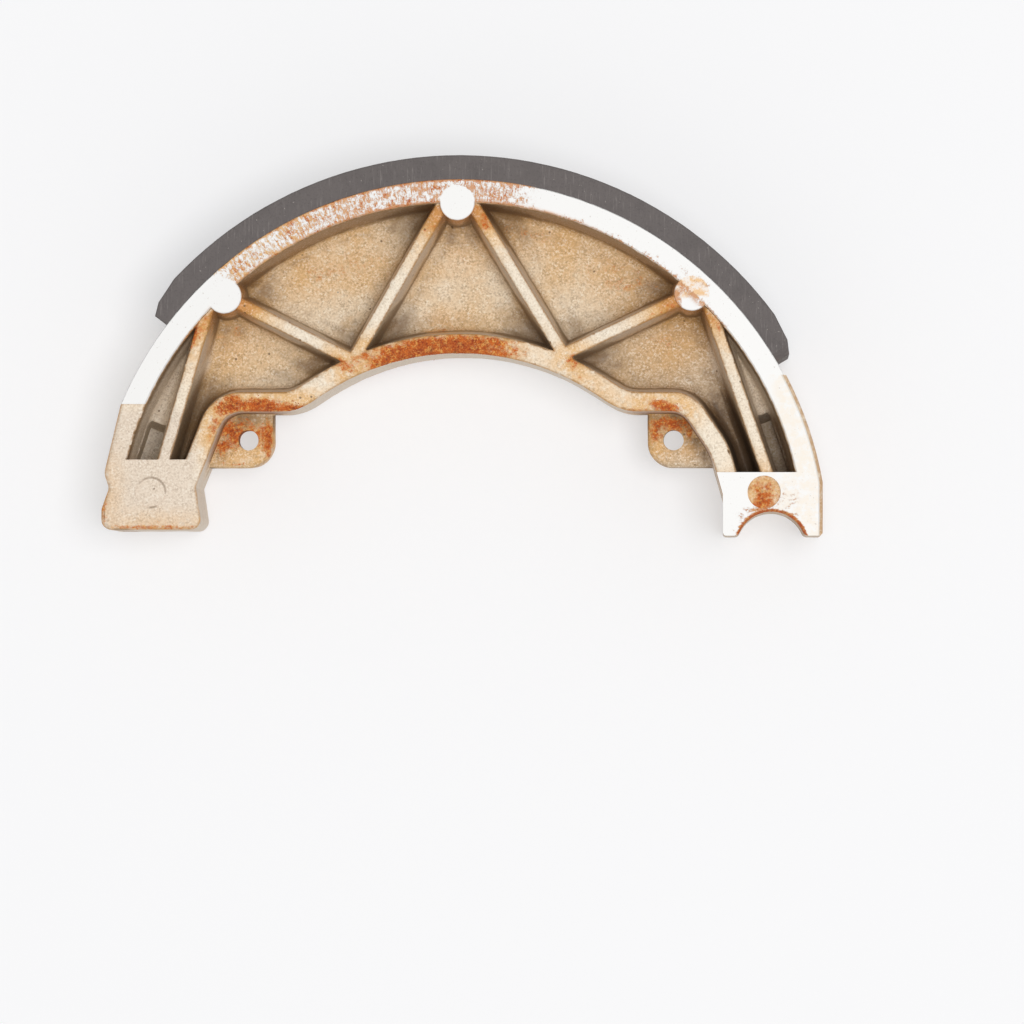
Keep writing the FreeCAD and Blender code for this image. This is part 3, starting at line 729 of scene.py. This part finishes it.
    def rust_amount(self, spot: Spot, stained: Value, machined: Value, grain: Value) -> Value:
        """How much rust covers the surface, from how stained, milled and grainy it is."""
        ragged = spot.noise(0.42, 5.0, 0.78, 5.0) - 0.5
        hatch = spot.graph.noise(spot.round_the_drum(2.4, 0.6, 2.4), 1.0, 3.0, 0.8) - 0.5
        fine = spot.noise(1.5, 3.0, 0.85, 9.0) - 0.5
        border = abs(spot.radius - self.rim_middle).ramp(1.5, 2.1) * spot.y.ramp(30.0, 31.0) * 0.5
        on_cast = (ragged * 1.7 + fine * 0.9) * (1 - machined)
        on_milled = (hatch * 1.8 + fine * 2.0 + ragged * 1.4 + border) * machined
        edge = stained + on_cast + on_milled + (grain - 0.5) * 0.4
        return edge.ramp(0.3, 0.8) * stained.ramp(0.02, 0.2)

    def rust_colour(self, spot: Spot, stained: Value, rust: Value, machined: Value,
                    grain: Value) -> Socket:
        """Colour of the rust, from a thin ochre film to a red-brown crust.

        Args:
            spot: the place that is coloured.
            stained: how strong the stain is.
            rust: how much rust covers the surface.
            machined: 1 on milled faces.
            grain: the noise of the sandy grain.

        Returns:
            The rust's colour.
        """
        blotch = spot.noise(0.7, 5.0, 0.85, 11.0)
        speck = spot.noise(1.7, 3.0, 0.75, 13.0)
        heavy = (stained * 0.7 + (blotch - 0.5) * 2.6).ramp(0.3, 1.0)
        faint = machined * (stained * 0.6 + (blotch - 0.5) * 3.0).fall(0.2, 0.7)
        tint = spot.graph.mix(self.rim_gold, self.rim_film, spot.x.ramp(-38.0, -12.0))
        return spot.graph.coats(
            self.ochre,
            (self.orange, rust.ramp(0.2, 0.8)),
            (self.red, heavy * 0.85),
            (self.pale_ochre, speck.ramp(0.5, 0.64) * (1 - heavy * 0.5) * 0.75),
            (self.ochre, grain.ramp(0.53, 0.66) * 0.55),
            (self.dark_crust, grain.fall(0.34, 0.5) * (0.25 + heavy * 0.45)),
            (tint, faint * 0.85),
            (self.edge, machined * grain.fall(0.4, 0.5) * 0.5))


@dataclass(frozen=True)
class FrictionCompound:
    """Moulded charcoal compound with sandy grain, mottling and ground streaks."""

    name: str = "friction_compound"
    body: Colour = tone(104, 97, 95)
    dark: Colour = tone(80, 74, 73)
    pale: Colour = tone(138, 130, 126)
    streak_scale: Tuple[float, float, float] = (3.2, 0.22, 1.0)
    ground_scale: Tuple[float, float, float] = (0.12, 0.4, 2.2)
    end_face: Pair = (13.5, 13.9)

    def build(self) -> Material:
        """Make the material."""
        paint = Paint(self.name)
        graph, spot = paint.graph, paint.spot
        stretched = graph.vector("MULTIPLY", spot.vector, self.streak_scale)
        streaks = graph.noise(stretched, 1.0, 3.0, 0.7)
        grain = spot.noise(2.8, 3.0, 0.7)
        mottle = spot.noise(0.3, 3.0)
        ground = graph.noise(spot.round_the_drum(*self.ground_scale), 1.0, 3.0, 0.7)
        on_face = spot.depth.fall(*self.end_face)
        colour = graph.coats(
            self.body,
            (self.dark, mottle.fall(0.3, 0.6) * 0.25),
            (self.dark, grain.fall(0.3, 0.5) * 0.5),
            (self.pale, streaks.ramp(0.55, 0.74) * (1 - on_face) * 0.55),
            (self.pale, ground.ramp(0.52, 0.72) * on_face * 0.4))
        height = grain * 0.03 + streaks * (1 - on_face) * 0.03 + ground * on_face * 0.05
        return paint.close(colour, 0.72 - streaks.ramp(0.5, 0.8) * 0.15, height)


@dataclass(frozen=True)
class RustScab:
    """Dry red-brown crust of the small scabs that stand on the stained crests."""

    name: str = "rust_scab"
    orange: Colour = tone(198, 108, 44)
    red: Colour = tone(150, 66, 34)
    relief: float = 0.04

    def build(self) -> Material:
        """Make the material."""
        paint = Paint(self.name)
        blotch = paint.spot.noise(0.8, 3.0, 0.7, 11.0)
        fine = paint.spot.noise(3.4, 2.0, 0.7)
        share = blotch.ramp(0.35, 0.62) * 0.8 + fine * 0.2
        colour = paint.graph.mix(self.red, self.orange, share)
        return paint.close(colour, 0.7 + 0.2 * fine, fine * self.relief)


@dataclass(frozen=True)
class PaleFibre:
    """Dull grey of the fibres that show in the friction compound."""

    name: str = "pale_fibre"
    light: Colour = tone(160, 152, 146)
    dark: Colour = tone(118, 111, 107)

    def build(self) -> Material:
        """Make the material."""
        paint = Paint(self.name)
        shade = paint.spot.noise(0.9, 2.0, 0.6)
        colour = paint.graph.mix(self.dark, self.light, shade.ramp(0.35, 0.65))
        return paint.close(colour, 0.5 + shade * 0.2)


class NodeTool:
    """Geometry node tree with named inputs, run once on a piece and turned into plain mesh."""

    def __init__(self, name: str, sizes: Dict[str, float]) -> None:
        """Start the tree.

        Args:
            name: the tree's name.
            sizes: the named inputs that are numbers, with their values.
        """
        self.sizes = sizes
        self.tree = bpy.data.node_groups.new(name, "GeometryNodeTree")
        self.graph = Graph(self.tree)
        for way in ("INPUT", "OUTPUT"):
            self.tree.interface.new_socket("Geometry", in_out=way, socket_type="NodeSocketGeometry")
        add = self.tree.interface.new_socket
        self.sockets = {
            size: add(size, in_out="INPUT", socket_type="NodeSocketFloat") for size in sizes}
        self.finish = add("Finish", in_out="INPUT", socket_type="NodeSocketMaterial")
        self.start = self.graph.node("NodeGroupInput")

    def size(self, name: str) -> Value:
        """One of the named numbers."""
        return Value(self.graph, self.start.outputs[name])

    def random(self, lowest: Operand, highest: Operand, seed: int) -> Value:
        """Random number of each point."""
        node = self.graph.node("FunctionNodeRandomValue", {"data_type": "FLOAT"}, {
            "Min_001": lowest, "Max_001": highest, "Seed": seed})
        return Value(self.graph, self.graph.find(node.outputs, "Value_001"))

    def close(self, geometry: Socket) -> None:
        """End the tree: real mesh for every instance, in the finish that the modifier names."""
        real = self.graph.node("GeometryNodeRealizeInstances", inputs={"Geometry": geometry})
        dressed = self.graph.node("GeometryNodeSetMaterial", inputs={
            "Geometry": real.outputs["Geometry"], "Material": self.start.outputs["Finish"]})
        self.graph.node("NodeGroupOutput", inputs={0: dressed.outputs["Geometry"]})

    def run(self, piece: Object, finish: Material) -> Mesh:
        """Run the tree on a piece.

        Args:
            piece: the object whose mesh the tree reads.
            finish: the material of the result.

        Returns:
            The result as a new mesh. The piece keeps its own.
        """
        modifier = piece.modifiers.new(self.tree.name, "NODES")
        modifier.node_group = self.tree
        for name, socket in self.sockets.items():
            modifier[socket.identifier] = self.sizes[name]
        modifier[self.finish.identifier] = finish
        mesh = plain_mesh(piece)
        piece.modifiers.clear()
        return mesh


@dataclass(frozen=True)
class UnevenSkin:
    """Skin of a cast or moulded face, which lies unevenly a little under the true one.

    Rise is the share of the depth by which its lumps rise towards the true face.
    """

    name: str
    depth_mm: float
    lumps_per_mm: float
    rise: float = 0.6

    def run(self, piece: Object, finish: Material) -> Mesh:
        """Make the uneven mesh of a piece."""
        tool = NodeTool(self.name, {"Depth": self.depth_mm * MM, "Lumps": self.lumps_per_mm})
        graph = tool.graph
        spot = Spot(graph, graph.node("GeometryNodeInputPosition").outputs["Position"])
        lumps = spot.noise(tool.size("Lumps"), 2.0, 0.6).ramp(0.25, 0.75) * self.rise
        shift = (lumps - 1) * tool.size("Depth") * graph.attribute(SKIN_ATTRIBUTE)
        normal = graph.node("GeometryNodeInputNormal").outputs["Normal"]
        offset = graph.node("ShaderNodeVectorMath", {"operation": "SCALE"}, {
            "Vector": normal, "Scale": shift})
        moved = graph.node("GeometryNodeSetPosition", inputs={
            "Geometry": tool.start.outputs["Geometry"], "Offset": offset.outputs["Vector"]})
        tool.close(moved.outputs["Geometry"])
        return tool.run(piece, finish)


@dataclass(frozen=True)
class Grit:
    """Small low flakes strewn over a surface. Flatness and narrowness are shares of length."""

    name: str
    per_cm2: float
    smallest_mm: float
    largest_mm: float
    flatness: float
    narrowness: float
    seed: int

    def run(self, piece: Object, finish: Material) -> Mesh:
        """Make the flakes that lie on a piece."""
        tool = NodeTool(self.name, {
            "Per square metre": self.per_cm2 * CM2_PER_M2,
            "Smallest": self.smallest_mm * MM, "Largest": self.largest_mm * MM,
            "Flatness": self.flatness, "Narrowness": self.narrowness})
        graph = tool.graph
        density = tool.size("Per square metre") * graph.attribute(STREWN_ATTRIBUTE)
        strewn = graph.node("GeometryNodeDistributePointsOnFaces", inputs={
            "Mesh": tool.start.outputs["Geometry"], "Density": density, "Seed": self.seed})
        flake = graph.node("GeometryNodeMeshIcoSphere", inputs={"Radius": 1.0, "Subdivisions": 1})
        span = tool.random(tool.size("Smallest"), tool.size("Largest"), self.seed)
        size = graph.node("ShaderNodeCombineXYZ", inputs={
            "X": span, "Y": span * tool.size("Narrowness"), "Z": span * tool.size("Flatness")})
        spin = graph.node("FunctionNodeAxisAngleToRotation", inputs={
            "Axis": (0.0, 0.0, 1.0), "Angle": tool.random(0.0, math.tau, self.seed + 1)})
        pose = graph.node("FunctionNodeRotateRotation", {"rotation_space": "LOCAL"}, {
            "Rotation": strewn.outputs["Rotation"], "Rotate By": spin.outputs["Rotation"]})
        placed = graph.node("GeometryNodeInstanceOnPoints", inputs={
            "Points": strewn.outputs["Points"], "Instance": flake.outputs["Mesh"],
            "Rotation": pose.outputs["Rotation"], "Scale": size.outputs["Vector"]})
        tool.close(placed.outputs["Instances"])
        return tool.run(piece, finish)


def plain_mesh(piece: Object) -> Mesh:
    """The mesh that a piece shows, with its modifiers worked in."""
    depsgraph = bpy.context.evaluated_depsgraph_get()
    return bpy.data.meshes.new_from_object(
        piece.evaluated_get(depsgraph), preserve_all_data_layers=True, depsgraph=depsgraph)


def add_piece(name: str, data: ID) -> Object:
    """Object at the origin with a mesh, a lamp or a camera, linked to the scene."""
    piece = bpy.data.objects.new(name, data)
    bpy.context.scene.collection.objects.link(piece)
    return piece


@dataclass(frozen=True)
class SplitSurface:
    """Copy of a solid's mesh with its triangles joined into flat faces and cut into even cells."""

    node: str
    pitch_mm: float
    levels_mm: Tuple[float, ...]
    crease: float
    milled_crease: float = math.radians(20.0)
    milled_depth_mm: float = 13.9
    weld: float = 0.002 * MM
    flat: float = math.radians(0.3)

    def build(self) -> Mesh:
        """Make the mesh."""
        lowest, highest = (Vector(corner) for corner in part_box(self.node))
        mesh = bmesh.new()
        mesh.from_mesh(bpy.data.objects[self.node].data)
        bmesh.ops.remove_doubles(mesh, verts=mesh.verts, dist=self.weld)
        bmesh.ops.dissolve_limit(mesh, angle_limit=self.flat, verts=mesh.verts, edges=mesh.edges)
        pitch = self.pitch_mm * MM
        for axis in (0, 1):
            for step in range(int((highest[axis] - lowest[axis]) / pitch)):
                self.slice(mesh, axis, lowest[axis] + (step + 0.5) * pitch)
        for level in self.levels_mm:
            self.slice(mesh, 2, level * MM)
        many_sided = [face for face in mesh.faces if len(face.verts) > 4]
        bmesh.ops.triangulate(mesh, faces=many_sided)
        for edge in mesh.edges:
            edge.smooth = edge.calc_face_angle(0.0) < self.crease_at(edge)
        result = bpy.data.meshes.new(self.node + "_split")
        mesh.to_mesh(result)
        mesh.free()
        return result

    def crease_at(self, edge: bmesh.types.BMEdge) -> float:
        """Angle above which an edge is sharp: small where it borders a milled face."""
        depths = [abs(face.calc_center_median().z / MM - MIDPLANE) for face in edge.link_faces]
        milled = max(depths, default=0.0) > self.milled_depth_mm
        return self.milled_crease if milled else self.crease

    @staticmethod
    def slice(mesh: bmesh.types.BMesh, axis: int, place: float) -> None:
        """Cut the mesh along a plane square to an axis, and keep both sides."""
        point, normal = Vector(), Vector()
        point[axis], normal[axis] = place, 1.0
        parts = mesh.verts[:] + mesh.edges[:] + mesh.faces[:]
        bmesh.ops.bisect_plane(mesh, geom=parts, dist=CUT_SNAP, plane_co=point, plane_no=normal)


def places_mm(mesh: Mesh) -> np.ndarray:
    """Corners of a mesh in millimetres, with the drum axis at x = y = 0."""
    flat = np.empty(len(mesh.vertices) * 3)
    mesh.vertices.foreach_get("co", flat)
    places = flat.reshape(-1, 3)
    places[:, 0] -= DRUM_AXIS_X
    return places / MM


def shelter(mesh: Mesh, reach_mm: float, rays: int) -> np.ndarray:
    """How much of the view out from each corner of a mesh is closed by nearby walls.

    Args:
        mesh: the mesh to look from and at.
        reach_mm: how far a wall may be to count.
        rays: how many directions are tried, spread evenly over a sphere.

    Returns:
        One number for each corner, from 0 in the open to 1 where all is closed.
    """
    tree = BVHTree.FromPolygons([corner.co for corner in mesh.vertices],
                                [face.vertices for face in mesh.polygons])
    golden_turn = math.pi * (3.0 - math.sqrt(5.0))
    directions = []
    for number in range(rays):
        height = 1.0 - (2.0 * number + 1.0) / rays
        flat = math.sqrt(1.0 - height * height)
        turn = golden_turn * number
        directions.append(Vector((flat * math.cos(turn), flat * math.sin(turn), height)))
    closed = np.zeros(len(mesh.vertices))
    for number, corner in enumerate(mesh.vertices):
        start = corner.co + corner.normal * RAY_LIFT_MM * MM
        open_share = total = 0.0
        for direction in directions:
            weight = direction.dot(corner.normal)
            if weight > GRAZING:
                total += weight
                if tree.ray_cast(start, direction, reach_mm * MM)[0] is None:
                    open_share += weight
        closed[number] = 1.0 - open_share / total
    return closed


def store(mesh: Mesh, name: str, values: np.ndarray) -> None:
    """Store one number for each corner of a mesh."""
    layer = mesh.attributes.new(name, "FLOAT", "POINT")
    layer.data.foreach_set("value", values.astype(np.float32))


def smooth(piece: Object) -> None:
    """Shade a piece smooth between its sharp edges, with flat faces kept flat."""
    piece.data.shade_smooth()
    even = piece.modifiers.new("Even normals", "WEIGHTED_NORMAL")
    even.keep_sharp = True
    even.weight = NORMAL_WEIGHT
    piece.data = plain_mesh(piece)
    piece.modifiers.clear()


@dataclass(frozen=True)
class DressedSolid:
    """Solid that shows as an uneven copy of its own mesh, with grit strewn over it."""

    node: str
    slot: Slot
    finish: Union[CastAluminium, FrictionCompound]
    skin: UnevenSkin
    surface: SplitSurface
    grit: Grit
    grit_finish: Union[RustScab, PaleFibre]
    body: str = "root"

    def dress(self, mesh: Mesh) -> List[Object]:
        """Make the pieces that show in place of the solid.

        Args:
            mesh: the solid's mesh, which says by its attributes how uneven and how strewn it is.

        Returns:
            The surface and its grit.
        """
        piece = add_piece(self.node + "_surface", mesh)
        piece.data = self.skin.run(piece, self.finish.build())
        smooth(piece)
        grit = add_piece(self.grit.name, self.grit.run(piece, self.grit_finish.build()))
        for each in (piece, grit):
            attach(each, self.body)
        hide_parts(self.node)
        return [piece, grit]


@dataclass(frozen=True)
class CastShoe(DressedSolid):
    """The die-cast shoe with its cast skin, its weathering and the rust scabs on it."""

    node: str = "shoe_casting"
    slot: Slot = Slot.CASTING
    finish: CastAluminium = CastAluminium()
    skin: UnevenSkin = UnevenSkin("cast_skin", depth_mm=0.12, lumps_per_mm=0.45)
    surface: SplitSurface = SplitSurface(
        "shoe_casting", pitch_mm=1.3, levels_mm=(1.8, 6.0, 10.0, 18.0, 22.0, 26.2),
        crease=math.radians(50.0))
    grit: Grit = Grit(
        "rust_scabs", per_cm2=900.0, smallest_mm=0.06, largest_mm=0.17, flatness=0.35,
        narrowness=0.7, seed=5)
    grit_finish: RustScab = RustScab()
    weathering: Weathering = Weathering()
    scab_rust: Pair = (0.7, 1.0)
    halo_mm: float = 2.4
    halo_strength: float = 1.6
    shelter_mm: float = 7.0
    shelter_rays: int = 36
    skin_depth_mm: Pair = (13.42, 13.7)
    seat_radius_mm: float = 65.2
    seat_margins_mm: Pair = (1.2, 0.4)
    true_rounds_mm: Tuple[Tuple[Pair, float], ...] = (
        (PIN_CENTRE, 7.6), (CAM_MARK_CENTRE, 3.8))
    round_margin_mm: float = 1.0

    def build(self) -> List[Object]:
        """Work out the rust, the skin and the shelter, and make the pieces."""
        mesh = self.surface.build()
        places = places_mm(mesh)
        rust = self.weathering.strength_at(places)
        as_cast = self.as_cast(places)
        around = self.weathering.strength_at(places, self.halo_mm) * self.halo_strength
        store(mesh, HALO_ATTRIBUTE, np.minimum(around, 1.0))
        # How closed in each corner is; the material paints dirt and shade from it.
        store(mesh, SHELTER_ATTRIBUTE, shelter(mesh, self.shelter_mm, self.shelter_rays))
        store(mesh, RUST_ATTRIBUTE, rust)
        store(mesh, SKIN_ATTRIBUTE, as_cast)
        store(mesh, STREWN_ATTRIBUTE, smooth_step(*self.scab_rust, rust) * as_cast)
        return self.dress(mesh)

    def as_cast(self, places: np.ndarray) -> np.ndarray:
        """1 where the skin is as cast, and 0 on faces that are milled or meet another part."""
        x, y, z = places.T
        far, near = (self.seat_radius_mm - margin for margin in self.seat_margins_mm)
        skin = 1.0 - smooth_step(*self.skin_depth_mm, np.abs(z - MIDPLANE))
        skin = skin * (1.0 - smooth_step(far, near, np.hypot(x, y)))
        for (centre_x, centre_y), reach in self.true_rounds_mm:
            away = np.hypot(x - centre_x, y - centre_y)
            skin = skin * smooth_step(reach - self.round_margin_mm, reach, away)
        return skin


@dataclass(frozen=True)
class BondedLining(DressedSolid):
    """The bonded friction lining, with the pale fibres that show in it."""

    node: str = "friction_lining"
    slot: Slot = Slot.LINING
    finish: FrictionCompound = FrictionCompound()
    skin: UnevenSkin = UnevenSkin("moulded_skin", depth_mm=0.05, lumps_per_mm=0.8)
    surface: SplitSurface = SplitSurface(
        "friction_lining", pitch_mm=1.5, levels_mm=tuple(range(2, 28, 2)),
        crease=math.radians(25.0))
    grit: Grit = Grit(
        "pale_fibres", per_cm2=40.0, smallest_mm=0.08, largest_mm=0.2, flatness=0.06,
        narrowness=0.35, seed=9)
    grit_finish: PaleFibre = PaleFibre()
    bond_radius_mm: float = 65.6
    bond_margin_mm: float = 0.2
    rub_radius_mm: float = 68.7
    face_margin_mm: float = 0.05
    rub_margin_mm: float = 0.6

    def build(self) -> List[Object]:
        """Work out where the skin and the fibres are, and make the pieces."""
        mesh = self.surface.build()
        places = places_mm(mesh)
        radius, depth = np.hypot(*places.T[:2]), np.abs(places[:, 2] - MIDPLANE)
        bond = self.bond_radius_mm
        store(mesh, SKIN_ATTRIBUTE, smooth_step(bond - self.bond_margin_mm, bond, radius))
        inner = (radius > bond + self.surface.pitch_mm) & (radius < self.rub_radius_mm)
        on_end_face = (depth > MIDPLANE - self.face_margin_mm) & inner
        on_rubbing_face = (depth < MIDPLANE - self.rub_margin_mm) & (radius > self.rub_radius_mm)
        store(mesh, STREWN_ATTRIBUTE, on_end_face | on_rubbing_face)
        return self.dress(mesh)


@dataclass
class Studio:
    """Pale table, soft light from above and from the right, and the camera over the shoe."""

    camera_place: Vector = field(default_factory=lambda: Vector((-10.0, -16.6, 1550.0)) * MM)
    camera_aim: Vector = field(default_factory=lambda: Vector((-46.0, 6.1, 28.0)) * MM)
    lens: float = 301.8
    sensor: float = 36.0
    floor_half: float = 3.0
    floor_level: float = -0.05 * MM
    floor_colour: Colour = tone(249, 249, 251)
    floor_roughness: float = 0.9
    floor_glow: float = 0.45
    sky: float = 0.5
    key_place: Vector = field(default_factory=lambda: Vector((0.24, -0.04, 1.9)))
    key_size: float = 0.8
    key_power: float = 17.5

    def build(self) -> None:
        """Set up the floor, the light and the camera."""
        self.build_floor()
        self.build_light()
        self.build_camera()
        bpy.context.scene.view_settings.view_transform = "Standard"

    def build_floor(self) -> None:
        """Lay a pale floor under the shoe, lit a little from within where it is seen."""
        half, low = self.floor_half, self.floor_level
        mesh = bpy.data.meshes.new("studio_floor")
        corners = [(-half, -half, low), (half, -half, low), (half, half, low), (-half, half, low)]
        mesh.from_pydata(corners, [], [(0, 1, 2, 3)])
        floor = add_piece("studio_floor", mesh)
        material = bpy.data.materials.new("studio_floor")
        graph = shader_graph(material)
        shader = graph.node("ShaderNodeBsdfPrincipled", inputs={
            "Base Color": self.floor_colour, "Roughness": self.floor_roughness})
        glow = graph.node("ShaderNodeEmission", inputs={"Color": WHITE, "Strength": 1.0})
        rays = graph.node("ShaderNodeLightPath").outputs
        seen = Value(graph, rays["Is Camera Ray"]).at_least(Value(graph, rays["Is Glossy Ray"]))
        surface = graph.node("ShaderNodeMixShader", inputs={
            "Fac": seen * self.floor_glow, 1: shader.outputs["BSDF"], 2: glow.outputs["Emission"]})
        graph.node("ShaderNodeOutputMaterial", inputs={"Surface": surface.outputs["Shader"]})
        mesh.materials.append(material)

    def build_light(self) -> None:
        """Light the table from all round, with a large lamp overhead, a little to the right."""
        world = bpy.data.worlds.new("studio_sky")
        graph = shader_graph(world)
        sky = graph.node("ShaderNodeBackground", inputs={"Color": WHITE, "Strength": self.sky})
        graph.node("ShaderNodeOutputWorld", inputs={"Surface": sky.outputs["Background"]})
        bpy.context.scene.world = world
        lamp = bpy.data.lights.new("key_light", "AREA")
        lamp.shape = "DISK"
        lamp.size = self.key_size
        lamp.energy = self.key_power
        key = add_piece("key_light", lamp)
        key.location = self.key_place
        key.rotation_euler = (self.camera_aim - self.key_place).to_track_quat("-Z", "Y").to_euler()

    def build_camera(self) -> None:
        """Stand the camera over the shoe, as in the photograph."""
        data = bpy.data.cameras.new("photo_camera")
        data.lens = self.lens
        data.sensor_fit = "HORIZONTAL"
        data.sensor_width = self.sensor
        camera = add_piece("photo_camera", data)
        back = (self.camera_place - self.camera_aim).normalized()
        right = Vector((0.0, 1.0, 0.0)).cross(back).normalized()
        turned = Matrix((right, back.cross(right), back)).transposed()
        camera.matrix_world = Matrix.LocRotScale(self.camera_place, turned, None)
        bpy.context.scene.camera = camera


def main() -> None:
    """Build the studio and the pieces of the shoe, in order."""
    logging.basicConfig(level=logging.INFO, format="%(name)s: %(message)s")
    Studio().build()
    for part in (CastShoe(), BondedLining()):
        for piece in part.build():
            LOG.info("%s has %d faces", piece.name, len(piece.data.polygons))


if __name__ == "__main__":
    main()
